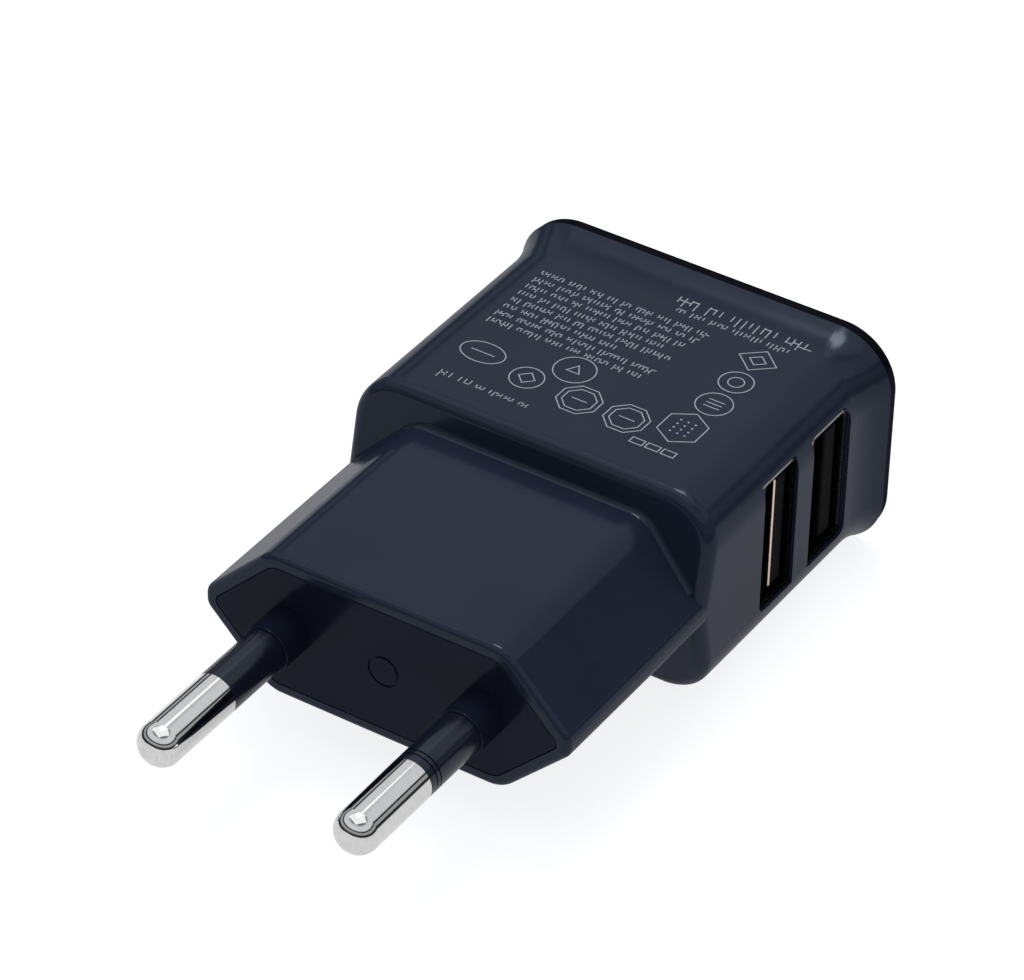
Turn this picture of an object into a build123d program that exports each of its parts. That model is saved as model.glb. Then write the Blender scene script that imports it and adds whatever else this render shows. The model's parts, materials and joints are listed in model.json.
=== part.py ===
from build123d import *
import math
import os

# USB wall charger with a fixed two-pin plug nose and two USB-A ports in its right side.
# Frame: millimetres, origin at the middle of the plug face between the pins,
# +X towards the USB ports, +Y into the body, +Z up with the charger lying on its broad face.

# ---- driving dimensions -------------------------------------------------------------------

# plug nose
nose_width = 35.1
nose_height = 14.1
nose_side_flat = 1.6        # height of the narrow upright side faces
nose_edge_radius = 3.0      # long edges of the broad faces
nose_side_radius = 1.3      # long edges of the narrow side faces
nose_rim_radius = 0.6       # edge around the plug face
foot_radius = 0.6           # hollow corner between nose and shoulder
foot_angle = math.radians(100)
foot_side_gap = 2.5         # the hollow corner stops this far short of the nose's sides
foot_lowest_z = 1.9
foot_rear_gap = 0.3

# plug pins
pin_spacing = 18.7
pin_diameter = 4.0
pin_length = 19.0
pin_tip_radius = 1.7
pin_neck_radius = 1.5
pin_flange_radius = 2.4
pin_flange_y = 6.0
pin_flange_thickness = 1.0
pin_tail_radius = 1.1
pin_tail_length = 2.0
sleeve_length = 10.0        # insulated stretch measured from the plug face
sleeve_radius = 1.98
sleeve_groove_y = (-8.7, -9.2)
sleeve_groove_depth = 0.16
sleeve_groove_width = 0.14
collar_length = 3.1         # moulded collar at the root of each pin
collar_radius = 2.16
collar_edge_radius = 0.1
bore_clearance = 0.02

# body behind the nose
body_width = nose_width
body_height = 19.9
body_edge_radius = 4.5
shoulder_middle_y = 19.9    # front of the shoulder at half height
shoulder_edge_y = 21.9      # front of the shoulder at the top and bottom faces
shoulder_edge_radius = 1.2
housing_rear_y = 48.9
flare_start_y = 44.6
flare_reach = 0.95          # how far the rear rim stands proud of the body
flare_shares = (0.0, 0.36, 0.7, 1.0)   # stations along the flare
flare_power = 2.2           # the flare grows with this power of the share
wall = 1.6

# rear cap
cap_thickness = 1.25
cap_gap = 0.06
cap_inset = 0.1
cap_edge_radius = 0.45
skirt_wall = 1.0
skirt_clearance = 0.1
skirt_length = 3.5
lug_width = 5.0
lug_reach = 0.45
lug_height = 0.8
lug_y = 46.6
lug_groove_length = 6.0
lug_groove_depth = 0.55
lug_groove_gap = 0.08       # play in front of and behind each lug
board_stop_width = 2.0
board_stop_height = 2.2
board_stop_x = 8.0
board_stop_gap = 0.08

# insides of the housing
cavity_front_y = 23.7
cavity_edge_radius = 2.6
cavity_width = body_width - 2 * wall
cavity_height = body_height - 2 * wall
nose_wall = 1.9
nose_cavity_side_radius = 0.8
nose_side_thickening = 0.8  # extra wall behind the narrow side faces
ledge_width = 1.4
ledge_front_y = 25.5
ledge_rear_y = 44.5

# plug-face plate
plate_inset = 1.1
plate_rear_y = 1.9
plate_step = 1.1            # how far the plate reaches on into the hollow nose
plate_side_radius = 0.7
plate_clearance = 0.05
plate_edge_radius = 0.15
boss_radius = 3.6
mark_radius = 1.5
mark_line = 0.22
mark_depth = 0.12

# USB ports
port_centre_y = (32.5, 40.75)
port_centre_z = 0.65
port_opening_y = 5.12
port_opening_z = 12.5
shell_wall = 0.3
shell_corner_radius = 0.7
shell_mouth_x = 17.1
shell_rear_x = 3.5
window_y = ((29.8, 35.2), (37.7, 43.8))
window_height = 12.9
window_corner_radius = 0.9
pocket_clearance = 0.12
finger_slot_x = (8.2, 14.0)     # cut-outs around the gripping fingers of a shell
finger_slot_height = 2.0
finger_width = 1.4
finger_reach = 0.38
finger_z = 2.9
finger_bend_gap = 1.4           # from the front of the slot back to the bend
finger_tip_gap = 0.4            # from the front of the slot back to the tip
finger_tip_depth = 0.05
finger_root_overlap = 0.2
finger_root_inner = 0.4
finger_root_outer = 0.6
leg_x = (7.0, 13.0)
leg_width = 1.4
leg_length = 2.0
tongue_thickness = 1.84
tongue_width = 11.1
tongue_tip_x = 16.8
tongue_tip_radius = 0.25
tongue_face_offset = 0.04   # contact side of the tongue from the middle of the port
block_front_x = 6.6
block_clearance = 0.06
contact_pitch_z = (-3.5, -1.0, 1.0, 3.5)
contact_width = 1.0
contact_thickness = 0.25
groove_width = 1.4
groove_depth = 1.0
groove_front_x = 16.4
contact_root_gap = 0.25
contact_root_depth = 0.30   # contact root below the tongue face
contact_crest_x = 13.6
contact_crest_height = 0.42  # crest above the tongue face with no plug inserted
contact_tip_x = 15.9
contact_crest_radius = 1.0
terminal_turn_x = (6.05, 5.35, 4.65, 3.95)   # staggered so that the four never meet
terminal_width = 0.4
terminal_gap = 2.0           # opening in the shell that the terminals pass through
terminal_gap_height = 0.5

# circuit board
board_top_z = port_centre_z - port_opening_z / 2 - shell_wall
board_thickness = 1.2
board_width = 31.2
board_front_y = 24.2
board_step_y = 45.1
board_rear_y = 47.7
board_tail_width = 27.4
solder_side_z = board_top_z - board_thickness
lead_radius = 0.3
lead_bend_radius = 1.2
lead_stub = 0.6             # how far each lead stands out below the board
slot_margin = 0.1           # how much wider the board's slots are than the blades in them
standoff = 0.2              # gap between the board and the parts that stand over it
sheet_thickness = 0.2
sheet_gap = 0.08

# parts on the board and in the nose
strip_thickness = 0.4
strip_width = 3.0
strip_top_z = 2.2
strip_floor_z = -4.5
strip_board_y = 24.9
input_capacitor_radius = 3.75
input_capacitor_length = 12.0
input_capacitor_x = (-3.9, 3.9)
input_capacitor_front_y = 8.2
input_capacitor_lead_y = 25.9
input_lead_pitch = 2.5
can_edge_radius = 0.35
can_standoff = 0.3
transformer_x = -8.7
transformer_y = 36.9
transformer_z = 0.45
core_width = 13.0
core_height = 12.0
core_depth = 6.0
core_leg = 1.7
core_centre_leg = 3.2
core_back = 1.9
core_fit = 0.1              # play between the core and the bobbin
core_joint_gap = 0.04
bobbin_wall = 0.6
bobbin_flange = 0.7
bobbin_depth = 12.6
rail_width = 11.5
rail_core_gap = 0.3
winding_margin = 0.25
winding_gap = 0.05
winding_corner_radius = 1.2
transformer_pin_pitch = 4.0
transformer_pin_inset = 0.8
transformer_pin_depth = 1.6
output_capacitor_radius = 2.5
output_capacitor_height = 11.0
output_capacitor_x = 0.65
output_capacitor_y = (32.6, 40.6)
output_lead_pitch = 2.0
resistor_place = (-4.6, 28.9)
resistor_length = 8.0
resistor_radius = 1.25
resistor_lift = 0.4
resistor_end_radius = 0.5
resistor_lead_reach = 1.2
resistor_lead_depth = 0.2
resistor_bend_radius = 0.7
inductor_place = (7.2, 27.4)
inductor_radius = 1.9
inductor_lead_pitch = 2.2
inductor_height = 6.5
inductor_flange = 0.8
inductor_waist_depth = 0.35
package_standoff = 0.1
package_chamfer = 0.2
foot_thickness = 0.2
# name, place, body size, spacing and count of the feet, size of one foot
packages = (
    ("bridge_rectifier", (-12.6, 27.4), (4.7, 4.0, 2.4), (2.5, 4.0, 2, 2), (0.6, 1.0)),
    ("controller_chip", (12.9, 27.05), (3.9, 4.9, 1.5), (4.5, 1.0, 2, 4), (1.0, 0.4)),
    ("optocoupler", (-9.5, 45.55), (4.4, 2.6, 2.1), (2.5, 2.6, 2, 2), (0.6, 1.0)),
    ("output_diode", (8.2, 45.75), (4.3, 2.6, 2.2), (4.3, 1.0, 2, 1), (1.0, 1.4)),
)
disc_capacitor_place = (-1.0, 45.0)
disc_capacitor_radius = 3.3
disc_capacitor_thickness = 2.6
disc_capacitor_lift = 0.8
disc_edge_radius = 0.9
disc_lead_entry = 1.2       # the leads enter the disc this far below its middle
disc_lead_pitch = 4.6
chip_size = (1.6, 0.8, 0.5)
chip_places = (
    (6.0, 36.6), (8.5, 36.6), (11.0, 36.6), (13.5, 36.6), (0.65, 36.6),
    (3.7, 45.2), (3.7, 46.6), (12.4, 44.9), (12.4, 46.2), (-6.0, 45.2), (-6.0, 46.6),
    (0.0, 25.4), (0.0, 26.8), (-7.0, 26.4),
)

slack = 0.1                 # margin used only when picking edges
overrun = 1.0               # how far a cut or a joined shape runs past the face it meets

shell_outer_y = port_opening_y + 2 * shell_wall
shell_outer_z = port_opening_z + 2 * shell_wall
shoulder_slope = (shoulder_edge_y - shoulder_middle_y) / (body_height / 2)


def upright(depth):
    """Upright plane at a distance behind the plug face; local x is +X and local y is +Z."""
    return Plane.XZ.offset(-depth)


def nose_outline(inset, side_radius, extra_side_inset=0.0):
    """Hexagon with blunt side points, drawn a distance inside the outer contour."""
    side_inset = inset + extra_side_inset
    side_half_height = nose_side_flat / 2 - inset * 2**0.5 + side_inset
    with BuildSketch(mode=Mode.PRIVATE) as outline:
        Rectangle(nose_width - 2 * side_inset, nose_height - 2 * inset)
        chamfer(outline.vertices(), nose_height / 2 - inset - side_half_height)
        by_height = outline.vertices().group_by(Axis.Y)
        fillet(by_height[0] + by_height[-1], nose_edge_radius - inset)
        by_side = outline.vertices().group_by(Axis.X)
        fillet(by_side[0] + by_side[-1], side_radius)
    return outline.sketch


def finish(piece, name):
    """Label a finished piece and write it to its own file."""
    piece.part.label = name
    export_step(piece.part, f"parts/{name}.step")


os.makedirs("parts", exist_ok=True)

# ---- main housing: nose and body in one moulding -------------------------------------------

with BuildPart() as main_housing:
    # body with a shoulder that leans back from half height to its top and bottom edges
    with BuildSketch(Plane.YZ.offset(-body_width / 2)):
        with BuildLine():
            Polyline(
                (shoulder_middle_y, 0),
                (shoulder_edge_y, body_height / 2),
                (housing_rear_y, body_height / 2),
                (housing_rear_y, -body_height / 2),
                (shoulder_edge_y, -body_height / 2),
                close=True,
            )
        make_face()
    extrude(amount=body_width)
    fillet(main_housing.edges().filter_by(Axis.Y), body_edge_radius)
    shoulder_edges = main_housing.edges().filter_by(
        lambda edge: edge.center().Y < shoulder_edge_y + slack
    )
    ridge = shoulder_edges.filter_by(Axis.X).filter_by(lambda edge: abs(edge.center().Z) < 1)
    fillet(shoulder_edges - ridge, shoulder_edge_radius)

    # rear rim that flares outwards in a hollow curve
    for share in flare_shares:
        reach = flare_reach * share**flare_power
        flare_y = flare_start_y + (housing_rear_y - flare_start_y) * share
        with BuildSketch(upright(flare_y)):
            RectangleRounded(
                body_width + 2 * reach, body_height + 2 * reach, body_edge_radius + reach
            )
    loft()

    # plug nose
    with BuildSketch(upright(0)):
        add(nose_outline(0, nose_side_radius))
    extrude(amount=-(shoulder_edge_y + overrun))

    # hollow corner where the nose meets the upper and the lower half of the shoulder
    for side in (1, -1):
        foot_edges = main_housing.edges().filter_by(
            lambda edge: shoulder_middle_y - overrun < edge.center().Y < shoulder_edge_y - foot_rear_gap
            and abs(edge.center().X) < nose_width / 2 - foot_side_gap
            and foot_lowest_z < side * edge.center().Z < nose_height / 2 + slack
        )
        foot_path = Wire(foot_edges)
        along = foot_path % 0
        off_shoulder = Vector(0, -1, side * shoulder_slope).normalized()
        across = along.cross(off_shoulder).normalized()
        if across.Z * side < 0:
            across = across * -1
        start = Plane(origin=foot_path @ 0, x_dir=across, z_dir=along)
        turn = 1 if start.y_dir.dot(off_shoulder) > 0 else -1
        leg = foot_radius / math.tan(foot_angle / 2)
        middle = math.pi + foot_angle / 2
        with BuildSketch(start):
            with BuildLine():
                hollow = ThreePointArc(
                    (leg, 0),
                    (
                        leg + foot_radius * math.cos(middle),
                        turn * foot_radius * (1 + math.sin(middle)),
                    ),
                    (leg * math.cos(foot_angle), turn * leg * math.sin(foot_angle)),
                )
                Polyline(
                    hollow @ 1,
                    (-foot_radius, (hollow @ 1).Y),
                    (-foot_radius, -turn * foot_radius / 2),
                    (leg, -turn * foot_radius / 2),
                    hollow @ 0,
                )
            make_face()
        sweep(path=foot_path)

    fillet(main_housing.faces().sort_by(Axis.Y)[0].edges(), nose_rim_radius)

    # hollow nose, with a seat for the plug-face plate
    with BuildSketch(upright(0)):
        add(nose_outline(plate_inset, plate_side_radius))
    extrude(amount=-plate_rear_y, mode=Mode.SUBTRACT)
    with BuildSketch(upright(0)):
        add(nose_outline(nose_wall, nose_cavity_side_radius, nose_side_thickening))
    extrude(amount=-(cavity_front_y + overrun), mode=Mode.SUBTRACT)

    # hollow body, open at the rear
    with BuildSketch(upright(cavity_front_y)):
        RectangleRounded(cavity_width, cavity_height, cavity_edge_radius)
    extrude(amount=-(housing_rear_y - cavity_front_y), mode=Mode.SUBTRACT)

    # two windows for the USB ports, with a wider pocket behind each for its shell
    window_middle = (window_y[0][0] + window_y[1][1]) / 2
    with BuildSketch(Plane.YZ.offset(cavity_width / 2)):
        with Locations((window_middle, port_centre_z)):
            RectangleRounded(window_y[1][1] - window_y[0][0], window_height, window_corner_radius)
        with Locations(((window_y[0][1] + window_y[1][0]) / 2, port_centre_z)):
            Rectangle(window_y[1][0] - window_y[0][1], window_height, mode=Mode.SUBTRACT)
    extrude(amount=2 * wall, mode=Mode.SUBTRACT)
    with BuildSketch(Plane.YZ.offset(cavity_width / 2 - wall)):
        with Locations(*[(centre, port_centre_z) for centre in port_centre_y]):
            RectangleRounded(
                shell_outer_y + 2 * pocket_clearance,
                shell_outer_z + 2 * pocket_clearance,
                shell_corner_radius,
            )
    extrude(
        amount=shell_mouth_x + pocket_clearance - (cavity_width / 2 - wall), mode=Mode.SUBTRACT
    )

    # ledges that carry the circuit board
    for side in (1, -1):
        with BuildSketch(upright(ledge_front_y)):
            with Locations((side * (cavity_width - ledge_width) / 2, 0)):
                Rectangle(ledge_width, cavity_height)
        ledge = extrude(amount=-(ledge_rear_y - ledge_front_y), mode=Mode.PRIVATE)
        ledge_top = Plane.XY.offset(solder_side_z - sheet_gap)
        add(split(ledge, ledge_top, keep=Keep.BOTTOM, mode=Mode.PRIVATE))

    # grooves that the lugs of the rear cap snap into
    with BuildSketch(upright(lug_y - lug_groove_gap)):
        with GridLocations(cavity_width / 2, cavity_height, 2, 2):
            Rectangle(lug_groove_length, 2 * lug_groove_depth)
    extrude(amount=-(lug_height + 2 * lug_groove_gap), mode=Mode.SUBTRACT)
finish(main_housing, "main_housing")

# ---- rear cap ------------------------------------------------------------------------------

cap_front_y = housing_rear_y + cap_gap
cap_width = body_width + 2 * (flare_reach - cap_inset)
cap_height = body_height + 2 * (flare_reach - cap_inset)
skirt_front_y = cap_front_y - skirt_length
with BuildPart() as end_cap:
    with BuildSketch(upright(cap_front_y)):
        RectangleRounded(cap_width, cap_height, body_edge_radius + flare_reach - cap_inset)
    extrude(amount=-cap_thickness)
    fillet(end_cap.faces().sort_by(Axis.Y)[-1].edges(), cap_edge_radius)
    skirt_width = cavity_width - 2 * skirt_clearance
    skirt_height = cavity_height - 2 * skirt_clearance
    with BuildSketch(upright(skirt_front_y)):
        RectangleRounded(skirt_width, skirt_height, cavity_edge_radius - skirt_clearance)
        RectangleRounded(
            skirt_width - 2 * skirt_wall,
            skirt_height - 2 * skirt_wall,
            cavity_edge_radius - skirt_clearance - skirt_wall,
            mode=Mode.SUBTRACT,
        )
    extrude(amount=-skirt_length)
    with BuildSketch(upright(lug_y)):
        with GridLocations(cavity_width / 2, skirt_height, 2, 2):
            Rectangle(lug_width, 2 * lug_reach)
    extrude(amount=-lug_height)
    board_stop_y = board_rear_y + board_stop_gap
    with BuildSketch(upright(board_stop_y)):
        with Locations((-board_stop_x, board_top_z), (board_stop_x, board_top_z)):
            Rectangle(board_stop_width, board_stop_height)
    extrude(amount=-(cap_front_y - board_stop_y))
finish(end_cap, "end_cap")

# ---- plug-face plate, pins and their insulating sleeves ------------------------------------

pin_places = {"left": -pin_spacing / 2, "right": pin_spacing / 2}
with BuildPart() as pin_carrier:
    with BuildSketch(upright(0)):
        add(nose_outline(plate_inset + plate_clearance, plate_side_radius))
    extrude(amount=-(plate_rear_y + plate_step))
    with BuildSketch(upright(plate_rear_y)):
        Rectangle(nose_width, nose_height)
        add(
            nose_outline(nose_wall + plate_clearance, nose_cavity_side_radius, nose_side_thickening),
            mode=Mode.SUBTRACT,
        )
    extrude(amount=-(plate_step + overrun), mode=Mode.SUBTRACT)
    fillet(pin_carrier.faces().sort_by(Axis.Y)[0].edges(), plate_edge_radius)
    with BuildSketch(upright(plate_rear_y)):
        with Locations(*[(x, 0) for x in pin_places.values()]):
            Circle(boss_radius)
    extrude(amount=-(pin_flange_y - plate_rear_y))
    with BuildSketch(upright(-collar_length)):
        with Locations(*[(x, 0) for x in pin_places.values()]):
            Circle(collar_radius)
    extrude(amount=-(collar_length + plate_edge_radius))
    fillet(pin_carrier.edges().group_by(Axis.Y)[0], collar_edge_radius)
    with BuildSketch(upright(-collar_length)):
        with Locations(*[(x, 0) for x in pin_places.values()]):
            Circle(pin_neck_radius + bore_clearance)
    extrude(amount=-(collar_length + pin_flange_y), mode=Mode.SUBTRACT)
    with BuildSketch(upright(0)):
        Circle(mark_radius)
        Circle(mark_radius - mark_line, mode=Mode.SUBTRACT)
    extrude(amount=-mark_depth, mode=Mode.SUBTRACT)
finish(pin_carrier, "pin_carrier")

for side, pin_x in pin_places.items():
    turning_plane = Plane(origin=(pin_x, 0, 0), x_dir=(1, 0, 0), z_dir=(0, 0, 1))
    pin_axis = Axis((pin_x, 0, 0), (0, 1, 0))
    pin_radius = pin_diameter / 2
    flange_rear_y = pin_flange_y + pin_flange_thickness
    with BuildPart() as pin:
        with BuildSketch(turning_plane):
            with BuildLine():
                Polyline(
                    (0, -pin_length),
                    (pin_radius, -pin_length),
                    (pin_radius, -sleeve_length),
                    (pin_neck_radius, -sleeve_length),
                    (pin_neck_radius, pin_flange_y),
                    (pin_flange_radius, pin_flange_y),
                    (pin_flange_radius, flange_rear_y),
                    (pin_tail_radius, flange_rear_y),
                    (pin_tail_radius, flange_rear_y + pin_tail_length),
                    (0, flange_rear_y + pin_tail_length),
                    close=True,
                )
            make_face()
        revolve(axis=pin_axis)
        fillet(pin.edges().group_by(Axis.Y)[0], pin_tip_radius)
    finish(pin, f"{side}_pin")

    with BuildPart() as sleeve:
        with BuildSketch(upright(-sleeve_length)):
            with Locations((pin_x, 0)):
                Circle(sleeve_radius)
                Circle(pin_neck_radius + bore_clearance, mode=Mode.SUBTRACT)
        extrude(amount=-(sleeve_length - collar_length))
        if side == "right":
            for groove_y in sleeve_groove_y:
                with BuildSketch(upright(groove_y)):
                    with Locations((pin_x, 0)):
                        Circle(sleeve_radius + overrun)
                        Circle(sleeve_radius - sleeve_groove_depth, mode=Mode.SUBTRACT)
                extrude(amount=-sleeve_groove_width, mode=Mode.SUBTRACT)
    finish(sleeve, f"{side}_pin_sleeve")

    # springy brass strip from the pin's riveted tail back and down into the board
    with BuildPart() as contact_strip:
        with BuildSketch(Plane.YZ.offset(pin_x - strip_width / 2)):
            with BuildLine():
                Polyline(
                    (flange_rear_y, strip_top_z),
                    (flange_rear_y, strip_floor_z),
                    (strip_board_y, strip_floor_z),
                    (strip_board_y, solder_side_z - lead_stub),
                    (strip_board_y + strip_thickness, solder_side_z - lead_stub),
                    (strip_board_y + strip_thickness, strip_floor_z + strip_thickness),
                    (flange_rear_y + strip_thickness, strip_floor_z + strip_thickness),
                    (flange_rear_y + strip_thickness, strip_top_z),
                    close=True,
                )
            make_face()
        extrude(amount=strip_width)
        with BuildSketch(upright(flange_rear_y - overrun)):
            with Locations((pin_x, 0)):
                Circle(pin_tail_radius + bore_clearance)
        extrude(amount=-(strip_thickness + 2 * overrun), mode=Mode.SUBTRACT)
    finish(contact_strip, f"{side}_contact_strip")

# ---- USB ports -----------------------------------------------------------------------------

for port, centre_y in zip(("front", "rear"), port_centre_y):
    # folded steel shell with gripping fingers and soldered legs
    with BuildPart() as shell:
        with BuildSketch(Plane.YZ.offset(shell_rear_x)):
            with Locations((centre_y, port_centre_z)):
                RectangleRounded(shell_outer_y, shell_outer_z, shell_corner_radius)
                RectangleRounded(
                    port_opening_y,
                    port_opening_z,
                    shell_corner_radius - shell_wall,
                    mode=Mode.SUBTRACT,
                )
        extrude(amount=shell_mouth_x - shell_rear_x)
        slot_length = finger_slot_x[1] - finger_slot_x[0]
        slot_middle = (finger_slot_x[0] + finger_slot_x[1]) / 2
        with BuildSketch(upright(centre_y)):
            with Locations((slot_middle, port_centre_z)):
                with GridLocations(1, 2 * finger_z, 1, 2):
                    Rectangle(slot_length, finger_slot_height)
        extrude(amount=shell_outer_y, both=True, mode=Mode.SUBTRACT)
        for side in (1, -1):
            outside = centre_y + side * shell_outer_y / 2
            inside = centre_y + side * port_opening_y / 2
            root_x = finger_slot_x[0] - finger_root_overlap
            bend_x = finger_slot_x[1] - finger_bend_gap
            tip_x = finger_slot_x[1] - finger_tip_gap
            for finger_middle_z in (port_centre_z - finger_z, port_centre_z + finger_z):
                with BuildSketch(Plane.XY.offset(finger_middle_z - finger_width / 2)):
                    with BuildLine():
                        Polyline(
                            (root_x, outside),
                            (finger_slot_x[0] + finger_root_outer, outside),
                            (bend_x, inside - side * (finger_reach - shell_wall)),
                            (tip_x, inside - side * finger_tip_depth),
                            (tip_x, inside - side * (finger_tip_depth + shell_wall)),
                            (bend_x, inside - side * finger_reach),
                            (finger_slot_x[0] + finger_root_inner, inside),
                            (root_x, inside),
                            close=True,
                        )
                    make_face()
                extrude(amount=finger_width)
        with BuildSketch(Plane.XY.offset(board_top_z + shell_corner_radius)):
            with Locations((sum(leg_x) / 2, centre_y)):
                with GridLocations(leg_x[1] - leg_x[0], shell_outer_y - shell_wall, 2, 2):
                    Rectangle(leg_width, shell_wall)
        extrude(amount=-(shell_corner_radius + leg_length))
        # open corner at the bottom of the rear end, where the terminals come out
        with BuildSketch(Plane.XY.offset(board_top_z - overrun)):
            with Locations((shell_rear_x, centre_y)):
                Rectangle(block_front_x - shell_rear_x, terminal_gap, align=(Align.MIN, Align.CENTER))
        extrude(amount=overrun + terminal_gap_height, mode=Mode.SUBTRACT)
    finish(shell, f"{port}_port_shell")

    tongue_face_y = centre_y + tongue_face_offset
    root_y = tongue_face_y + contact_root_depth

    # fixed terminals: the rear ends of the four contacts, turned down into the board
    with BuildPart() as terminals:
        for contact_z, turn_x in zip(contact_pitch_z, terminal_turn_x):
            with BuildSketch(Plane.XY.offset(port_centre_z + contact_z - contact_width / 2)):
                with Locations((turn_x - terminal_width / 2, root_y)):
                    Rectangle(
                        block_front_x - turn_x + terminal_width / 2,
                        contact_thickness,
                        align=(Align.MIN, Align.MIN),
                    )
            extrude(amount=contact_width)
            with BuildSketch(Plane.XY.offset(port_centre_z + contact_z)):
                with Locations((turn_x, root_y)):
                    Rectangle(terminal_width, contact_thickness, align=(Align.CENTER, Align.MIN))
            extrude(amount=solder_side_z - lead_stub - port_centre_z - contact_z)
    finish(terminals, f"{port}_port_terminals")

    # plastic insert: rear block with the tongue that holds the contacts
    with BuildPart() as tongue:
        with BuildSketch(Plane.YZ.offset(shell_rear_x)):
            with Locations((centre_y, port_centre_z)):
                RectangleRounded(
                    port_opening_y - 2 * block_clearance,
                    port_opening_z - 2 * block_clearance,
                    shell_corner_radius - shell_wall,
                )
        extrude(amount=block_front_x - shell_rear_x)
        with BuildSketch(Plane.YZ.offset(block_front_x)):
            with Locations((tongue_face_y + tongue_thickness / 2, port_centre_z)):
                Rectangle(tongue_thickness, tongue_width)
        extrude(amount=tongue_tip_x - block_front_x)
        fillet(tongue.faces().sort_by(Axis.X)[-1].edges(), tongue_tip_radius)
        with BuildSketch(upright(tongue_face_y + groove_depth)):
            with Locations(
                *[((block_front_x + groove_front_x) / 2, port_centre_z + z) for z in contact_pitch_z]
            ):
                Rectangle(groove_front_x - block_front_x, groove_width)
        extrude(amount=2 * groove_depth, mode=Mode.SUBTRACT)
        add(terminals.part, mode=Mode.SUBTRACT)
    finish(tongue, f"{port}_port_tongue")

    # four spring contacts that stand proud of the tongue until a plug presses them in
    contact_root_x = block_front_x + contact_root_gap
    with BuildPart() as contacts:
        for contact_z in contact_pitch_z:
            with BuildSketch(Plane.XY.offset(port_centre_z + contact_z - contact_width / 2)):
                with BuildLine():
                    Polyline(
                        (contact_root_x, root_y),
                        (contact_crest_x, tongue_face_y - contact_crest_height),
                        (contact_tip_x, tongue_face_y),
                        (contact_tip_x, tongue_face_y + contact_thickness),
                        (contact_crest_x, tongue_face_y - contact_crest_height + contact_thickness),
                        (contact_root_x, root_y + contact_thickness),
                        close=True,
                    )
                make_face()
            extrude(amount=contact_width)
        crests = contacts.edges().filter_by(Axis.Z).filter_by(
            lambda edge: abs(edge.center().X - contact_crest_x) < slack
        )
        fillet(crests, contact_crest_radius)
    finish(contacts, f"{port}_port_contacts")

# ---- transformer ---------------------------------------------------------------------------

transformer_row = bobbin_depth / 2 - transformer_pin_inset
transformer_leads = [
    (transformer_x + transformer_pin_pitch * step, transformer_y + side * transformer_row)
    for step in (-1, 0, 1)
    for side in (1, -1)
]
core_plane = upright(transformer_y - core_depth / 2)
bobbin_half_height = core_height / 2 - core_back - core_fit
tube_width = core_centre_leg + 2 * bobbin_wall + core_fit
tube_depth = core_depth + 2 * bobbin_wall + core_fit
bobbin_width = core_width - 2 * core_leg - 2 * core_fit

for half, side in (("upper", 1), ("lower", -1)):
    with BuildPart() as core:
        with BuildSketch(core_plane):
            with Locations((transformer_x, transformer_z)):
                Rectangle(core_width, core_height)
                for window_side in (1, -1):
                    shift = window_side * (core_centre_leg / 2 + core_width / 2 - core_leg) / 2
                    with Locations((shift, 0)):
                        Rectangle(
                            core_width / 2 - core_leg - core_centre_leg / 2,
                            core_height - 2 * core_back,
                            mode=Mode.SUBTRACT,
                        )
            with Locations((transformer_x, transformer_z - side * core_height / 2)):
                Rectangle(core_width, core_height + core_joint_gap, mode=Mode.SUBTRACT)
        extrude(amount=-core_depth)
    finish(core, f"transformer_{half}_core")

with BuildPart() as bobbin:
    with BuildSketch(Plane.XY.offset(transformer_z - bobbin_half_height)):
        with Locations((transformer_x, transformer_y)):
            Rectangle(tube_width, tube_depth)
    extrude(amount=2 * bobbin_half_height)
    for flange_z in (-bobbin_half_height, bobbin_half_height - bobbin_flange):
        with BuildSketch(Plane.XY.offset(transformer_z + flange_z)):
            with Locations((transformer_x, transformer_y)):
                Rectangle(bobbin_width, bobbin_depth)
        extrude(amount=bobbin_flange)
    # rails beside the lower core that hold the pins
    rail_depth = (bobbin_depth - core_depth) / 2 - rail_core_gap
    rail_top_z = transformer_z - bobbin_half_height + bobbin_flange
    with BuildSketch(Plane.XY.offset(board_top_z + standoff)):
        with Locations((transformer_x, transformer_y)):
            with GridLocations(1, bobbin_depth - rail_depth, 1, 2):
                Rectangle(rail_width, rail_depth)
    extrude(amount=rail_top_z - board_top_z - standoff)
    with BuildSketch(Plane.XY.offset(transformer_z - bobbin_half_height - overrun)):
        with Locations((transformer_x, transformer_y)):
            Rectangle(core_centre_leg + core_fit, core_depth + core_fit)
    extrude(amount=2 * (bobbin_half_height + overrun), mode=Mode.SUBTRACT)
    with BuildSketch(Plane.XY.offset(board_top_z)):
        with Locations(*transformer_leads):
            Circle(lead_radius)
    extrude(amount=transformer_pin_depth, mode=Mode.SUBTRACT)
finish(bobbin, "transformer_bobbin")

with BuildPart() as winding:
    winding_half_height = bobbin_half_height - bobbin_flange - winding_gap
    with BuildSketch(Plane.XY.offset(transformer_z - winding_half_height)):
        with Locations((transformer_x, transformer_y)):
            RectangleRounded(
                bobbin_width - 2 * winding_margin,
                bobbin_depth - 2 * winding_margin,
                winding_corner_radius,
            )
            Rectangle(tube_width + winding_gap, tube_depth + winding_gap, mode=Mode.SUBTRACT)
    extrude(amount=2 * winding_half_height)
finish(winding, "transformer_winding")

with BuildPart() as transformer_pins:
    with BuildSketch(Plane.XY.offset(solder_side_z - lead_stub)):
        with Locations(*transformer_leads):
            Circle(lead_radius)
    extrude(amount=board_top_z + transformer_pin_depth - solder_side_z + lead_stub)
finish(transformer_pins, "transformer_pins")

# ---- parts with leads ----------------------------------------------------------------------

lead_places = list(transformer_leads)

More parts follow.
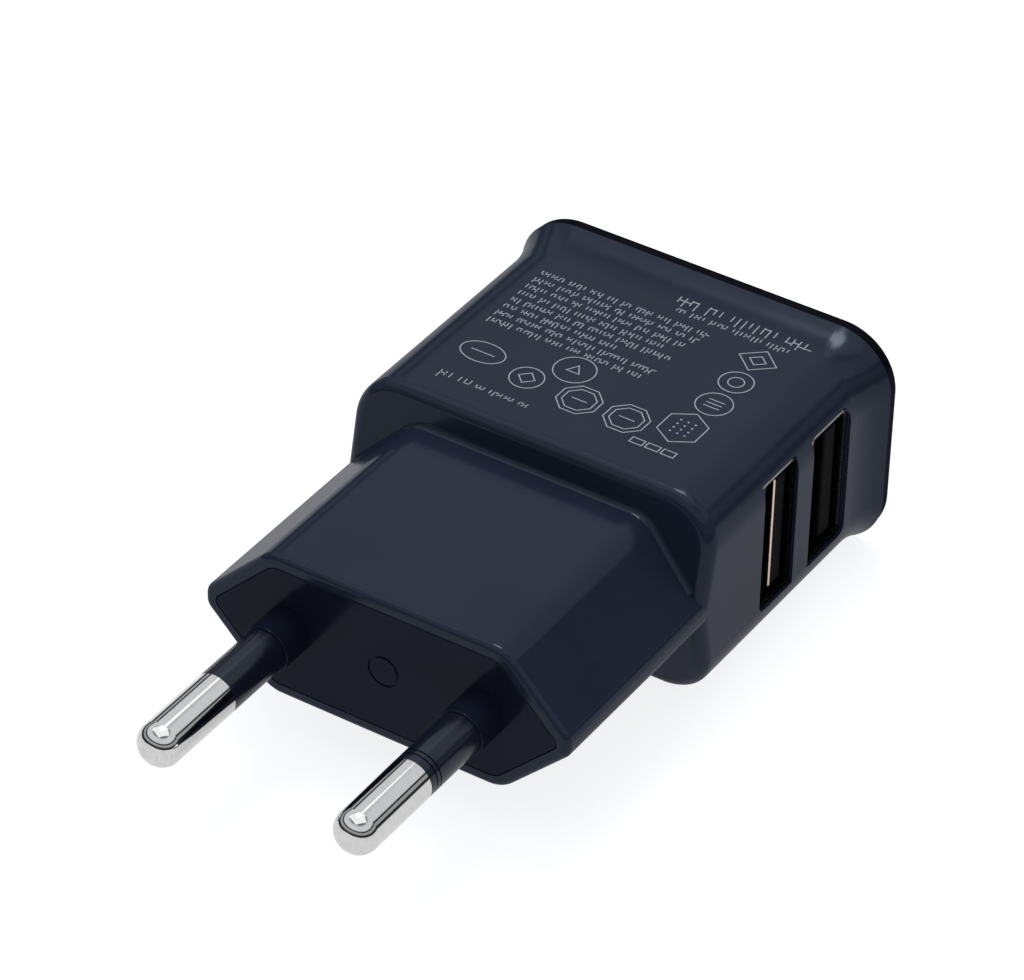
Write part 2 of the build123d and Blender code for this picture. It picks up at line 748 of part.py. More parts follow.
# mains smoothing capacitors, lying in the nose between the contact strips
for side, can_x in zip(("left", "right"), input_capacitor_x):
    can_rear_y = input_capacitor_front_y + input_capacitor_length
    with BuildPart() as capacitor:
        with BuildSketch(upright(input_capacitor_front_y)):
            with Locations((can_x, 0)):
                Circle(input_capacitor_radius)
        extrude(amount=-input_capacitor_length)
        fillet(capacitor.edges(), can_edge_radius)
        for lead_side in (1, -1):
            lead_x = can_x + lead_side * input_lead_pitch / 2
            lead_places.append((lead_x, input_capacitor_lead_y))
            with BuildLine(Plane.YZ.offset(lead_x)) as lead_route:
                FilletPolyline(
                    (can_rear_y, 0),
                    (input_capacitor_lead_y, 0),
                    (input_capacitor_lead_y, solder_side_z - lead_stub),
                    radius=lead_bend_radius,
                )
            with BuildSketch(upright(can_rear_y)):
                with Locations((lead_x, 0)):
                    Circle(lead_radius)
            sweep(path=lead_route.line)
    finish(capacitor, f"{side}_input_capacitor")

# output smoothing capacitors, standing between the transformer and the ports
for place, can_y in zip(("front", "rear"), output_capacitor_y):
    can_leads = [
        (output_capacitor_x, can_y + side * output_lead_pitch / 2) for side in (1, -1)
    ]
    lead_places += can_leads
    with BuildPart() as capacitor:
        with BuildSketch(Plane.XY.offset(board_top_z + can_standoff)):
            with Locations((output_capacitor_x, can_y)):
                Circle(output_capacitor_radius)
        extrude(amount=output_capacitor_height)
        fillet(capacitor.edges(), can_edge_radius)
        with BuildSketch(Plane.XY.offset(solder_side_z - lead_stub)):
            with Locations(*can_leads):
                Circle(lead_radius)
        extrude(amount=board_top_z + can_standoff - solder_side_z + lead_stub)
    finish(capacitor, f"{place}_output_capacitor")

# fusible resistor lying in front of the transformer
resistor_x, resistor_y = resistor_place
resistor_z = board_top_z + resistor_radius + resistor_lift
with BuildPart() as fusible_resistor:
    with BuildSketch(Plane.YZ.offset(resistor_x - resistor_length / 2)):
        with Locations((resistor_y, resistor_z)):
            Circle(resistor_radius)
    extrude(amount=resistor_length)
    fillet(fusible_resistor.edges(), resistor_end_radius)
    for side in (1, -1):
        lead_start_x = resistor_x + side * (resistor_length / 2 - resistor_lead_depth)
        lead_x = resistor_x + side * (resistor_length / 2 + resistor_lead_reach)
        lead_places.append((lead_x, resistor_y))
        with BuildLine(Plane.XZ.offset(-resistor_y)) as lead_route:
            FilletPolyline(
                (lead_start_x, resistor_z),
                (lead_x, resistor_z),
                (lead_x, solder_side_z - lead_stub),
                radius=resistor_bend_radius,
            )
        with BuildSketch(Plane.YZ.offset(lead_start_x)):
            with Locations((resistor_y, resistor_z)):
                Circle(lead_radius)
        sweep(path=lead_route.line)
finish(fusible_resistor, "fusible_resistor")

# drum-core inductor of the input filter
inductor_x, inductor_y = inductor_place
inductor_leads = [(inductor_x + side * inductor_lead_pitch / 2, inductor_y) for side in (1, -1)]
lead_places += inductor_leads
with BuildPart() as filter_inductor:
    with BuildSketch(Plane.XY.offset(board_top_z + standoff)):
        with Locations(inductor_place):
            Circle(inductor_radius)
    extrude(amount=inductor_height)
    with BuildSketch(Plane.XY.offset(board_top_z + standoff + inductor_flange)):
        with Locations(inductor_place):
            Circle(inductor_radius + overrun)
            Circle(inductor_radius - inductor_waist_depth, mode=Mode.SUBTRACT)
    extrude(amount=inductor_height - 2 * inductor_flange, mode=Mode.SUBTRACT)
    with BuildSketch(Plane.XY.offset(solder_side_z - lead_stub)):
        with Locations(*inductor_leads):
            Circle(lead_radius)
    extrude(amount=board_top_z + standoff - solder_side_z + lead_stub)
finish(filter_inductor, "filter_inductor")

# disc capacitor that bridges the mains side and the output side
disc_x, disc_y = disc_capacitor_place
disc_z = board_top_z + disc_capacitor_radius + disc_capacitor_lift
disc_leads = [(disc_x + side * disc_lead_pitch / 2, disc_y) for side in (1, -1)]
lead_places += disc_leads
with BuildPart() as safety_capacitor:
    with BuildSketch(upright(disc_y - disc_capacitor_thickness / 2)):
        with Locations((disc_x, disc_z)):
            Circle(disc_capacitor_radius)
    extrude(amount=-disc_capacitor_thickness)
    fillet(safety_capacitor.edges(), disc_edge_radius)
    with BuildSketch(Plane.XY.offset(solder_side_z - lead_stub)):
        with Locations(*disc_leads):
            Circle(lead_radius)
    extrude(amount=disc_z - disc_lead_entry - solder_side_z + lead_stub)
finish(safety_capacitor, "safety_capacitor")

# ---- surface-mounted parts -----------------------------------------------------------------

for name, place, (size_x, size_y, size_z), feet, foot in packages:
    with BuildPart() as package:
        with BuildSketch(Plane.XY.offset(board_top_z + package_standoff)):
            with Locations(place):
                Rectangle(size_x, size_y)
        extrude(amount=size_z)
        chamfer(package.faces().sort_by(Axis.Z)[-1].edges(), package_chamfer)
        with BuildSketch(Plane.XY.offset(board_top_z)):
            with Locations(place):
                with GridLocations(*feet):
                    Rectangle(*foot)
        extrude(amount=foot_thickness)
    finish(package, name)

with BuildPart() as chip_components:
    with BuildSketch(Plane.XY.offset(board_top_z)):
        with Locations(*chip_places):
            Rectangle(chip_size[0], chip_size[1])
    extrude(amount=chip_size[2])
finish(chip_components, "chip_components")

# ---- circuit board and the insulating sheet under it ---------------------------------------

with BuildPart() as main_board:
    with BuildSketch(Plane.XY.offset(solder_side_z)):
        with Locations((0, board_front_y)):
            from_front = (Align.CENTER, Align.MIN)
            Rectangle(board_width, board_step_y - board_front_y, align=from_front)
            Rectangle(board_tail_width, board_rear_y - board_front_y, align=from_front)
        with Locations(*lead_places):
            Circle(lead_radius + bore_clearance, mode=Mode.SUBTRACT)
        with Locations(*[(x, strip_board_y + strip_thickness / 2) for x in pin_places.values()]):
            Rectangle(strip_width + slot_margin, strip_thickness + slot_margin, mode=Mode.SUBTRACT)
        for centre_y in port_centre_y:
            with Locations((sum(leg_x) / 2, centre_y)):
                with GridLocations(leg_x[1] - leg_x[0], shell_outer_y - shell_wall, 2, 2):
                    Rectangle(leg_width + slot_margin, shell_wall + slot_margin, mode=Mode.SUBTRACT)
            terminal_y = centre_y + tongue_face_offset + contact_root_depth + contact_thickness / 2
            with Locations(*[(turn_x, terminal_y) for turn_x in terminal_turn_x]):
                Rectangle(
                    terminal_width + slot_margin, contact_thickness + slot_margin, mode=Mode.SUBTRACT
                )
    extrude(amount=board_thickness)
finish(main_board, "main_board")

with BuildPart() as insulating_sheet:
    with BuildSketch(Plane.XY.offset(-cavity_height / 2 + sheet_gap)):
        with Locations((0, (ledge_front_y + ledge_rear_y) / 2)):
            Rectangle(cavity_width - 2 * cavity_edge_radius, ledge_rear_y - ledge_front_y)
    extrude(amount=sheet_thickness)
finish(insulating_sheet, "insulating_sheet")
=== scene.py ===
import json
import math
import random

import bmesh
import bpy
from mathutils import Matrix, Vector


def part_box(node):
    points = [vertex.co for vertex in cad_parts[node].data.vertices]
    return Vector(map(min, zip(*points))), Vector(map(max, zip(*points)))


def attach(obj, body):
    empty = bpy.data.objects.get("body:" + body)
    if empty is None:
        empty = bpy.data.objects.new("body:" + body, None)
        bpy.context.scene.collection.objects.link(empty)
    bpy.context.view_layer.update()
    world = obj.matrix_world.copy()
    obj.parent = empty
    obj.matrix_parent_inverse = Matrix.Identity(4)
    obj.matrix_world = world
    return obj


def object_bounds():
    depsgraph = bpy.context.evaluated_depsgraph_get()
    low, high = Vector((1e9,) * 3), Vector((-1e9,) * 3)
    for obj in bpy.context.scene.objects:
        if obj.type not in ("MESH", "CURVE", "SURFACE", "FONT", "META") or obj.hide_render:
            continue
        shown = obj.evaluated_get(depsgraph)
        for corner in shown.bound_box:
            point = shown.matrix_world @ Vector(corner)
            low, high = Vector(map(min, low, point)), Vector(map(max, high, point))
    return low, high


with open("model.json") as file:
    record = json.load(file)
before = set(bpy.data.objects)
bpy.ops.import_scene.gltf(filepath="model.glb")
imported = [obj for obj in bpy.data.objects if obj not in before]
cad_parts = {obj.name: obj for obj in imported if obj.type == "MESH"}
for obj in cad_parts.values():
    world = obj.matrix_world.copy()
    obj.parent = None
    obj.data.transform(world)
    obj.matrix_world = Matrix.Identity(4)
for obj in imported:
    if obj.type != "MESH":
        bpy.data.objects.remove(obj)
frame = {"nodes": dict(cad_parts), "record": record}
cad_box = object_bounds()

MM = 0.001
nodes = frame["nodes"]

# the part of a noise texture's range that ramps spread out
NOISE_LOW = 0.3
NOISE_HIGH = 0.7
# how lines in a metal's surface stretch along each axis
BRUSH_STRETCH = {None: (1, 1, 1), "X": (0.05, 1, 1), "turned": (0.12, 1, 0.12)}
DULL_SHARE = 0.1         # share of a tongue's surface that shines, away from the copper-coloured strip painted on its edge as a glint
SHADE_TO_GLINT_BLEND = 0.15    # millimetres over which sheet metal goes from painted shade inside to a painted highlight at its mouth


# ---- materials -------------------------------------------------------------------------------


class Shader:
    """A node material with a Principled shader and object-space coordinates in millimetres."""

    def __init__(self, name, **sockets):
        self.material = bpy.data.materials.new(name)
        self.material.use_nodes = True
        self.tree = self.material.node_tree
        self.principled = self.tree.nodes["Principled BSDF"]
        for socket, value in sockets.items():
            self.principled.inputs[socket.replace("_", " ")].default_value = value
        coordinates = self.add("ShaderNodeTexCoord")
        scale = self.add("ShaderNodeVectorMath", operation="SCALE")
        scale.inputs["Scale"].default_value = 1 / MM
        self.link(coordinates.outputs["Object"], scale.inputs[0])
        self.place = scale.outputs[0]

    def add(self, kind, **settings):
        node = self.tree.nodes.new(kind)
        for setting, value in settings.items():
            setattr(node, setting, value)
        return node

    def link(self, output, socket):
        self.tree.links.new(output, socket)

    def noise(self, scale, detail=2.0, stretch=(1, 1, 1)):
        """Noise with features about 1/scale millimetres across; stretch shrinks them along an axis."""
        stretched = self.add("ShaderNodeVectorMath", operation="MULTIPLY")
        stretched.inputs[1].default_value = stretch
        self.link(self.place, stretched.inputs[0])
        texture = self.add("ShaderNodeTexNoise")
        texture.inputs["Scale"].default_value = scale
        texture.inputs["Detail"].default_value = detail
        self.link(stretched.outputs[0], texture.inputs["Vector"])
        return texture.outputs["Fac"]

    def ramp(self, value, low, high):
        """Spread the middle of a noise's range between two numbers."""
        node = self.add("ShaderNodeMapRange", clamp=True)
        node.inputs["From Min"].default_value = NOISE_LOW
        node.inputs["From Max"].default_value = NOISE_HIGH
        node.inputs["To Min"].default_value = low
        node.inputs["To Max"].default_value = high
        self.link(value, node.inputs["Value"])
        return node.outputs["Result"]

    def mix(self, value, first, second):
        node = self.add("ShaderNodeMix", data_type="RGBA")
        node.inputs["A"].default_value = (*first, 1)
        node.inputs["B"].default_value = (*second, 1)
        self.link(value, node.inputs["Factor"])
        return node.outputs["Result"]

    def bump(self, height, strength, distance):
        node = self.add("ShaderNodeBump")
        node.inputs["Strength"].default_value = strength
        node.inputs["Distance"].default_value = distance * MM
        self.link(height, node.inputs["Height"])
        self.link(node.outputs["Normal"], self.principled.inputs["Normal"])

    def dull(self, colour, gloss_share):
        """Mix the Principled shader into a plain diffuse one; returns the socket of its share."""
        matt = self.add("ShaderNodeBsdfDiffuse")
        self.link(colour, matt.inputs["Color"])
        blend = self.add("ShaderNodeMixShader")
        blend.inputs["Fac"].default_value = gloss_share
        self.link(matt.outputs["BSDF"], blend.inputs[1])
        self.link(self.principled.outputs["BSDF"], blend.inputs[2])
        self.link(blend.outputs["Shader"], self.tree.nodes["Material Output"].inputs["Surface"])
        return blend.inputs["Fac"]


def moulded_plastic(name, dark, light, roughness, gloss_share, grain=0.02):
    """Moulded plastic: faint flow shading, uneven gloss and a fine orange-peel grain.

    Only gloss_share of the surface shines, which keeps side faces dark at grazing angles.
    """
    shader = Shader(name, Specular_Tint=(0.75, 0.85, 1.0, 1))
    flow = shader.ramp(shader.noise(0.12, 3.0), 0.0, 1.0)
    colour = shader.mix(flow, dark, light)
    shader.link(colour, shader.principled.inputs["Base Color"])
    shader.dull(colour, gloss_share)
    gloss = shader.ramp(shader.noise(0.9, 4.0), roughness - 0.025, roughness + 0.025)
    shader.link(gloss, shader.principled.inputs["Roughness"])
    shader.bump(shader.noise(7.0, 2.0), 0.04, grain)
    return shader.material


def lacquered_metal(name, colour, roughness, brushed_along=None):
    """Plated metal with fine turning or rolling lines across it."""
    shader = Shader(name, Metallic=1.0)
    lines = shader.noise(9.0, 3.0, BRUSH_STRETCH[brushed_along])
    darker = tuple(channel * 0.86 for channel in colour)
    tone = shader.mix(shader.ramp(lines, 0, 1), darker, colour)
    shader.link(tone, shader.principled.inputs["Base Color"])
    gloss = shader.ramp(lines, roughness * 0.75, roughness * 1.25)
    shader.link(gloss, shader.principled.inputs["Roughness"])
    shader.bump(lines, 0.08, 0.01)
    return shader.material


def painted_shade_and_glint_metal(name, inside_shade_colour, mouth_glint_colour, mouth_x, roughness):
    """Plated sheet metal, darkened inside as painted shade and lighter at its cut edges beyond mouth_x
    millimetres as a painted highlight.
    """
    shader = Shader(name, Metallic=1.0)
    split = shader.add("ShaderNodeSeparateXYZ")
    shader.link(shader.place, split.inputs[0])
    edge = shader.add("ShaderNodeMapRange", clamp=True)
    edge.inputs["From Min"].default_value = mouth_x - SHADE_TO_GLINT_BLEND
    edge.inputs["From Max"].default_value = mouth_x
    shader.link(split.outputs["X"], edge.inputs["Value"])
    # base colour: painted shade inside the shell, painted highlight at its mouth
    shader.link(shader.mix(edge.outputs["Result"], inside_shade_colour, mouth_glint_colour), shader.principled.inputs["Base Color"])
    lines = shader.noise(2.0, 2.0, BRUSH_STRETCH["X"])
    gloss = shader.ramp(lines, roughness * 0.85, roughness * 1.15)
    shader.link(gloss, shader.principled.inputs["Roughness"])
    return shader.material


def glint_edged_plastic(name, colour, tongue_glint_colour, corner, depth):
    """Black plastic of the port tongues, with a thin copper-coloured metal strip painted along the front
    one's edge as a glint.

    The edge lies beyond corner's x and in front of corner's y, both in millimetres.
    """
    shader = Shader(name)
    mottle = shader.ramp(shader.noise(1.5, 3.0), 0.0, 1.0)
    darker = tuple(channel * 0.7 for channel in colour)
    split = shader.add("ShaderNodeSeparateXYZ")
    shader.link(shader.place, split.inputs[0])
    beyond = shader.add("ShaderNodeMath", operation="GREATER_THAN")
    beyond.inputs[1].default_value = corner[0] - depth
    shader.link(split.outputs["X"], beyond.inputs[0])
    in_front = shader.add("ShaderNodeMath", operation="LESS_THAN")
    in_front.inputs[1].default_value = corner[1] + depth
    shader.link(split.outputs["Y"], in_front.inputs[0])
    edge = shader.add("ShaderNodeMath", operation="MULTIPLY")
    shader.link(beyond.outputs[0], edge.inputs[0])
    shader.link(in_front.outputs[0], edge.inputs[1])
    # copper-coloured strip painted on the tip edge as a glint
    tint = shader.add("ShaderNodeMix", data_type="RGBA")
    tint.inputs["B"].default_value = (*tongue_glint_colour, 1)
    shader.link(edge.outputs[0], tint.inputs["Factor"])
    shader.link(shader.mix(mottle, darker, colour), tint.inputs["A"])
    shader.link(tint.outputs["Result"], shader.principled.inputs["Base Color"])
    shader.link(edge.outputs[0], shader.principled.inputs["Metallic"])
    share = shader.dull(tint.outputs["Result"], DULL_SHARE)
    gloss = shader.add("ShaderNodeMapRange")
    gloss.inputs["To Min"].default_value = DULL_SHARE
    shader.link(edge.outputs[0], gloss.inputs["Value"])
    shader.link(gloss.outputs["Result"], share)
    return shader.material


def printed_ink(name, colour):
    """Thin pad-printed ink, slightly uneven in cover."""
    shader = Shader(name, Roughness=0.55)
    worn = tuple(channel * 0.72 for channel in colour)
    shader.link(
        shader.mix(shader.ramp(shader.noise(2.5, 4.0), 0, 1), worn, colour),
        shader.principled.inputs["Base Color"],
    )
    return shader.material


def component(name, dark, light, roughness, scale=1.5):
    """Matt or satin coat of an electronic part, with mottled colour."""
    shader = Shader(name)
    mottle = shader.noise(scale, 4.0)
    tone = shader.mix(shader.ramp(mottle, 0, 1), dark, light)
    shader.link(tone, shader.principled.inputs["Base Color"])
    gloss = shader.ramp(mottle, roughness - 0.05, roughness + 0.05)
    shader.link(gloss, shader.principled.inputs["Roughness"])
    shader.bump(shader.noise(scale * 6, 2.0), 0.15, 0.02)
    return shader.material


def wound_tape(name, dark, light):
    """Polyester tape wound round a coil: overlapping turns across its height."""
    shader = Shader(name, Roughness=0.35)
    wave = shader.add("ShaderNodeTexWave", wave_type="BANDS", bands_direction="Z")
    wave.inputs["Scale"].default_value = 0.5
    wave.inputs["Distortion"].default_value = 0.4
    shader.link(shader.place, wave.inputs["Vector"])
    shader.link(shader.mix(wave.outputs["Fac"], dark, light), shader.principled.inputs["Base Color"])
    shader.bump(wave.outputs["Fac"], 0.3, 0.04)
    return shader.material


SHELL_MOUTH_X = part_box("front_port_shell")[1].x / MM


def front_tongue_corner():
    """The (x, y) of the front port's tongue at its tip, on its side towards the nose, in millimetres."""
    low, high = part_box("front_port_tongue")
    start = Vector((high.x - MM, low.y - MM, (low.z + high.z) / 2))
    hit, place, _, _ = nodes["front_port_tongue"].ray_cast(start, Vector((0, 1, 0)))
    if not hit:
        raise ValueError("the front port has no tongue")
    return high.x / MM, place.y / MM


FRONT_TONGUE_CORNER = front_tongue_corner()

SLOT_MATERIALS = {
    "housing_plastic": moulded_plastic(
        "housing_plastic", (0.0092, 0.0125, 0.0235), (0.0108, 0.0146, 0.0272), 0.17, 0.32
    ),
    # cap: its own black, darkened further to paint the shade of the seam at the rear rim
    "cap_plastic": moulded_plastic(
        "cap_plastic", (0.0015, 0.0018, 0.0030), (0.0022, 0.0026, 0.0044), 0.22, 0.06
    ),
    "face_plastic": moulded_plastic(
        "face_plastic", (0.0045, 0.0055, 0.0120), (0.0055, 0.0068, 0.0145), 0.16, 0.18, 0.008
    ),
    "sleeve_plastic": moulded_plastic(
        "sleeve_plastic", (0.0040, 0.0050, 0.0105), (0.0055, 0.0068, 0.0135), 0.20, 0.60, 0.006
    ),
    # the front tongue's tip edge carries a copper-coloured strip painted as a glint
    "tongue_plastic": glint_edged_plastic(
        "tongue_plastic", (0.0030, 0.0030, 0.0036), (0.70, 0.54, 0.46), FRONT_TONGUE_CORNER, 0.14
    ),
    "nickel_pin": lacquered_metal("nickel_pin", (0.58, 0.57, 0.55), 0.07, "turned"),
    # port shells: inside painted dark as shade, mouth painted lighter as a highlight
    "port_steel": painted_shade_and_glint_metal(
        "port_steel", (0.05, 0.05, 0.055), (0.13, 0.125, 0.12), SHELL_MOUTH_X - 0.1, 0.28
    ),
    "contact_brass": lacquered_metal("contact_brass", (0.86, 0.55, 0.38), 0.25, "X"),
    "tinned_metal": lacquered_metal("tinned_metal", (0.75, 0.75, 0.75), 0.30),
    "circuit_board": component("circuit_board", (0.010, 0.070, 0.025), (0.016, 0.110, 0.040), 0.40, 0.8),
    "ferrite": component("ferrite", (0.030, 0.030, 0.033), (0.060, 0.060, 0.064), 0.60, 3.0),
    "component_black": component(
        "component_black", (0.012, 0.012, 0.013), (0.020, 0.020, 0.022), 0.55, 2.0
    ),
    "winding_tape": wound_tape("winding_tape", (0.55, 0.38, 0.02), (0.80, 0.60, 0.05)),
    "capacitor_sleeve": component(
        "capacitor_sleeve", (0.006, 0.012, 0.045), (0.010, 0.018, 0.070), 0.30, 0.5
    ),
    "resistor_body": component("resistor_body", (0.09, 0.14, 0.09), (0.13, 0.19, 0.12), 0.60, 2.0),
    "disc_blue": component("disc_blue", (0.012, 0.060, 0.330), (0.020, 0.090, 0.420), 0.35, 1.5),
    "barrier_sheet": component("barrier_sheet", (0.46, 0.40, 0.27), (0.60, 0.52, 0.38), 0.80, 4.0),
}
PRINT_INK = printed_ink("print_ink", (0.26, 0.27, 0.31))

slot_of = {entry["node"]: entry["material_slot"] for entry in frame["record"]["subparts"]}
for node_name, node in nodes.items():
    node.data.materials.clear()
    node.data.materials.append(SLOT_MATERIALS[slot_of[node_name]])


# ---- printed marks on the broad face -----------------------------------------------------------

housing_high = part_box("main_housing")[1]
INK_WIDTH = 0.10         # millimetres
INK_HEIGHT = 0.012
RING_STEPS = 32
DOT_STEPS = 12


def top_of_housing(x, y):
    """Height of the housing's upper surface above a point, all in millimetres."""
    start = Vector((x * MM, y * MM, housing_high.z + MM))
    hit, place, _, _ = nodes["main_housing"].ray_cast(start, Vector((0, 0, -1)))
    if not hit:
        raise ValueError("no housing under a printed mark")
    return place.z / MM


def around(middle, radius_x, radius_y, steps, first_turn=0.0):
    """Points evenly spaced round an ellipse, starting at first_turn radians."""
    turns = [first_turn + 2 * math.pi * step / steps for step in range(steps)]
    return [(middle[0] + radius_x * math.cos(t), middle[1] + radius_y * math.sin(t)) for t in turns]


class Printing:
    """Collects thin raised plates of ink on the housing's upper surface.

    Points are (x, distance in front of the housing's rear edge), in millimetres.
    """

    def __init__(self):
        self.mesh = bmesh.new()

    def plate(self, corners):
        """One thin flat plate of ink, its underside sunk a little into the plastic."""
        lower, upper = [], []
        for x, ahead in corners:
            y = housing_high.y / MM - ahead
            height = top_of_housing(x, y)
            lower.append(self.mesh.verts.new(Vector((x, y, height - INK_HEIGHT)) * MM))
            upper.append(self.mesh.verts.new(Vector((x, y, height + INK_HEIGHT)) * MM))
        self.mesh.faces.new(upper[::-1])
        self.mesh.faces.new(lower)
        for index in range(len(corners)):
            after = (index + 1) % len(corners)
            self.mesh.faces.new((lower[after], lower[index], upper[index], upper[after]))

    def line(self, start, end, width=INK_WIDTH):
        start, end = Vector(start), Vector(end)
        along = (end - start).normalized()
        side = Vector((-along.y, along.x)) * width / 2
        start, end = start - along * width / 2, end + along * width / 2
        self.plate([start - side, end - side, end + side, start + side])

    def outline(self, points, width=INK_WIDTH):
        """Closed line through points, made of plates mitred at the corners."""
        inner, outer = [], []
        count = len(points)
        for index in range(count):
            before, here, after = (Vector(points[(index + step) % count]) for step in (-1, 0, 1))
            arrive, leave = (here - before).normalized(), (after - here).normalized()
            bisector = Vector((-arrive.y - leave.y, arrive.x + leave.x)).normalized()
            reach = width / 2 / bisector.dot(Vector((-arrive.y, arrive.x)))
            inner.append(here + bisector * reach)
            outer.append(here - bisector * reach)
        for index in range(count):
            after = (index + 1) % count
            self.plate([outer[index], outer[after], inner[after], inner[index]])

    def ring(self, middle, radius_x, radius_y=None, width=INK_WIDTH):
        self.outline(around(middle, radius_x, radius_y or radius_x, RING_STEPS), width)

    def polygon(self, middle, radius_x, radius_y, sides, first_turn=0.0, width=INK_WIDTH):
        self.outline(around(middle, radius_x, radius_y, sides, math.radians(first_turn)), width)

    def dot(self, middle, radius):
        self.plate(around(middle, radius, radius, DOT_STEPS))

    def tick_row(self, start, end, height, pitch, seed):
        """A row of plain upright ticks in word-like groups, in place of a line of small print."""
        choose = random.Random(seed)
        start, end = Vector(start), Vector(end)
        along = (end - start).normalized()
        upright = Vector((-along.y, along.x))
        travelled, length = 0.0, (end - start).length
        left_in_word = choose.randint(3, 8)
        while travelled < length:
            if left_in_word == 0:
                left_in_word = choose.randint(3, 8)
                travelled += pitch * 0.9
                continue
            left_in_word -= 1
            foot = start + along * travelled
            tall = height * choose.choice((0.62, 0.62, 0.75, 1.0))
            self.line(foot, foot + upright * (tall - INK_WIDTH))
            if choose.random() < 0.55 and left_in_word:
                middle = foot + upright * choose.choice((0.05, 0.3, 0.5)) * height
                self.line(middle, middle + along * pitch)
            travelled += pitch

    def finish(self, name, material):
        data = bpy.data.meshes.new(name)
        self.mesh.to_mesh(data)
        self.mesh.free()
        data.materials.append(material)
        piece = bpy.data.objects.new(name, data)
        bpy.context.scene.collection.objects.link(piece)
        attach(piece, "charger")
        return piece


printing = Printing()

# heading across the flared rear of the face, and a smaller line under it
printing.tick_row((-0.6, 2.9), (12.0, 2.9), 1.25, 0.60, 1)
printing.tick_row((0.0, 4.4), (11.0, 4.4), 0.75, 0.38, 2)

# eight lines of small print
line_ends = (4.2, 3.6, 3.2, 2.0, 3.4, -1.0, 3.1, 2.7)
for index, line_end in enumerate(line_ends):
    ahead = 6.2 + 1.18 * index
    printing.tick_row((-12.4, ahead), (line_end, ahead), 0.80, 0.36, 10 + index)

# column of small signs beside the print
printing.polygon((9.5, 7.2), 1.8, 1.6, 4)
printing.polygon((9.5, 7.2), 0.8, 0.7, 4)
printing.ring((9.6, 10.9), 1.5)
printing.ring((9.6, 10.9), 0.7)
printing.ring((9.7, 14.6), 1.6)
for shift in (-0.5, 0.0, 0.5):
    printing.line((9.0, 14.6 + shift), (10.4, 14.6 + shift))

# tall sign with a grid of dots, and three open boxes in front of it
printing.polygon((9.3, 18.9), 2.1, 2.3, 6, 30)
for column in (-0.7, 0.0, 0.7):
    for row in (-0.9, -0.3, 0.3, 0.9):
        printing.dot((9.3 + column, 18.9 + row), 0.10)
for column in (-1.5, 0.0, 1.5):
    corners = ((-0.6, -0.35), (0.6, -0.35), (0.6, 0.35), (-0.6, 0.35))
    printing.outline([(8.7 + column + across, 22.6 + ahead) for across, ahead in corners])

# two large open signs
for column in (0.2, 4.8):
    for size in (2.0, 1.5):
        printing.polygon((column, 20.4), size, size, 8, 22.5)
    printing.line((column - 0.7, 20.4), (column + 0.7, 20.4))

# smaller signs and lines in front of the print
printing.ring((-2.4, 17.0), 1.85)
printing.polygon((-2.4, 17.0), 0.7, 0.7, 3, 30)
printing.ring((-10.1, 19.2), 2.1, 1.4)
printing.line((-11.2, 19.2), (-9.0, 19.2))
printing.ring((-5.1, 20.2), 1.5)
printing.polygon((-5.1, 20.2), 0.8, 0.8, 4)
printing.tick_row((-11.5, 23.2), (-8.1, 23.2), 1.1, 0.50, 31)
printing.tick_row((-7.9, 23.4), (-2.9, 23.4), 0.7, 0.36, 32)
printing.finish("printed_marks", PRINT_INK)


# ---- floor, lights and camera ------------------------------------------------------------------

FLOOR_SIZE = 6.0


def stage_floor(name, size, height, material):
    """A square floor that isn't part of the object."""
    half = size / 2
    corners = [(x, y, height) for x, y in ((-half, -half), (half, -half), (half, half), (-half, half))]
    data = bpy.data.meshes.new(name)
    data.from_pydata(corners, [], [(0, 1, 2, 3)])
    data.materials.append(material)
    plane = bpy.data.objects.new(name, data)
    bpy.context.scene.collection.objects.link(plane)
    return plane


def area_light(name, place, aim, width, depth, power, colour):
    data = bpy.data.lights.new(name, "AREA")
    data.shape = "RECTANGLE"
    data.size = width
    data.size_y = depth
    data.energy = power
    data.color = colour
    light = bpy.data.objects.new(name, data)
    light.location = place
    light.rotation_euler = (Vector(aim) - Vector(place)).to_track_quat("-Z", "Y").to_euler()
    bpy.context.scene.collection.objects.link(light)
    return light


floor_finish = Shader(
    "light_table",
    Roughness=0.9,
    Specular_IOR_Level=0.0,
    Emission_Color=(0.97, 0.98, 1.0, 1),
    Emission_Strength=0.86,
)
clouds = floor_finish.ramp(floor_finish.noise(0.004, 2.0), 0, 1)
floor_tone = floor_finish.mix(clouds, (0.20, 0.20, 0.21), (0.24, 0.24, 0.25))
floor_finish.link(floor_tone, floor_finish.principled.inputs["Base Color"])
stage_floor("floor", FLOOR_SIZE, cad_box[0].z, floor_finish.material)

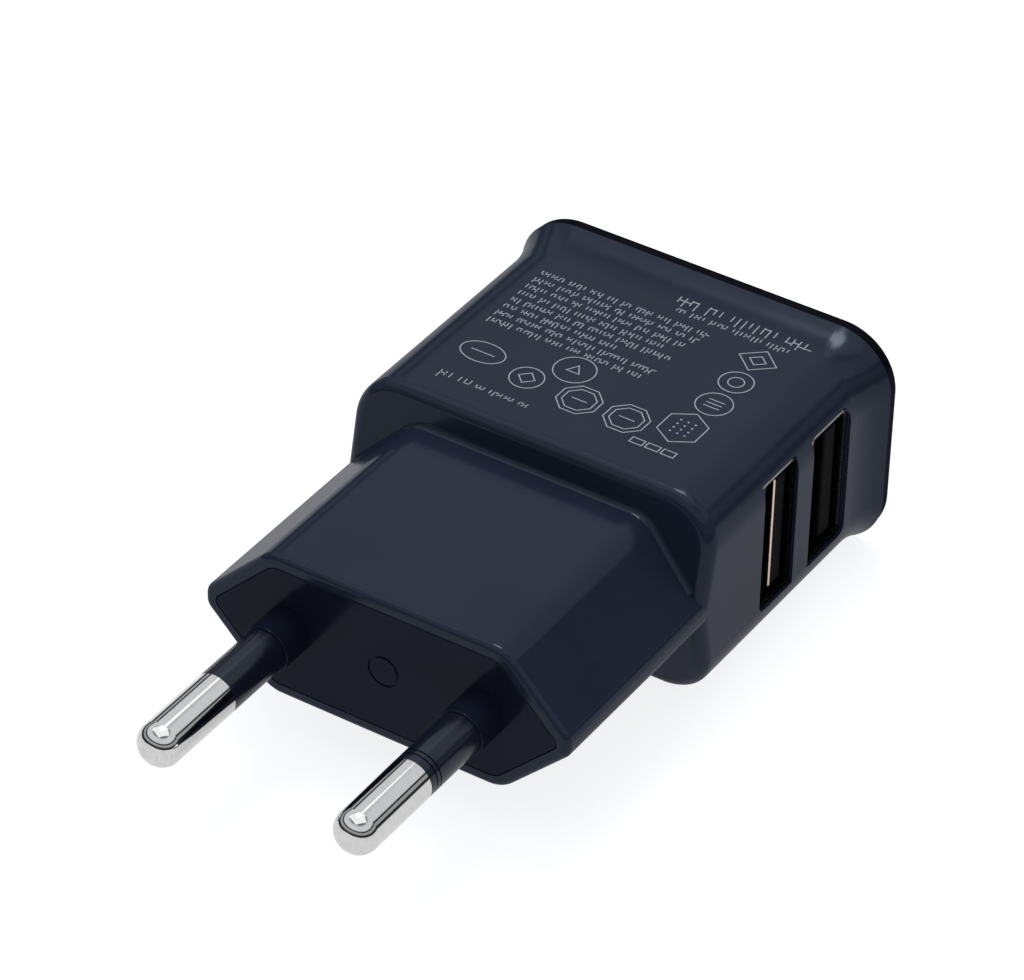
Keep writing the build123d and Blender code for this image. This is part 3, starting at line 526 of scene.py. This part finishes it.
middle = (cad_box[0] + cad_box[1]) / 2
area_light("overhead", (-0.05, 0.05, 0.90), middle, 1.0, 1.0, 4.5, (0.94, 0.97, 1.0))
area_light("key", (-0.12, 0.22, 0.75), middle, 0.24, 0.24, 2.6, (0.96, 0.98, 1.0))

world = bpy.data.worlds.new("studio")
world.use_nodes = True
sky = world.node_tree.nodes["Background"]
sky.inputs["Strength"].default_value = 1.15
direction = world.node_tree.nodes.new("ShaderNodeTexCoord")
split = world.node_tree.nodes.new("ShaderNodeSeparateXYZ")
bands = world.node_tree.nodes.new("ShaderNodeValToRGB")
world.node_tree.links.new(direction.outputs["Generated"], split.inputs[0])
world.node_tree.links.new(split.outputs["Z"], bands.inputs["Fac"])
world.node_tree.links.new(bands.outputs["Color"], sky.inputs["Color"])
# brightness of the room by height: dark near the floor, two light bands with a dark one between
SKY_BANDS = (
    (0.16, 0.03),
    (0.22, 0.5),
    (0.35, 0.5),
    (0.38, 0.04),
    (0.45, 0.04),
    (0.49, 0.95),
    (0.76, 0.95),
    (0.86, 0.2),
)
for index, (height, brightness) in enumerate(SKY_BANDS):
    stops = bands.color_ramp.elements
    stop = stops[index] if index < 2 else stops.new(height)
    stop.position = height
    stop.color = (brightness * 0.92, brightness * 0.95, brightness, 1)
bpy.context.scene.world = world

eye = Vector((180.05, -268.46, 259.09)) * MM
aim = Vector((-2.06, 21.99, 3.73)) * MM
roll = math.radians(-1.4407)
forward = (aim - eye).normalized()
level = forward.cross(Vector((0, 0, 1))).normalized()
upward = level.cross(forward)
up = upward * math.cos(roll) + level * math.sin(roll)
right = level * math.cos(roll) - upward * math.sin(roll)
camera_data = bpy.data.cameras.new("camera")
camera_data.sensor_width = 36.0
camera_data.lens = 181.93
camera_data.clip_start = 0.01
camera_data.clip_end = 20.0
camera = bpy.data.objects.new("camera", camera_data)
camera.matrix_world = Matrix(
    [(right[axis], up[axis], -forward[axis], eye[axis]) for axis in range(3)] + [(0, 0, 0, 1)]
)
bpy.context.scene.collection.objects.link(camera)
bpy.context.scene.camera = camera
bpy.context.scene.view_settings.view_transform = "Standard"
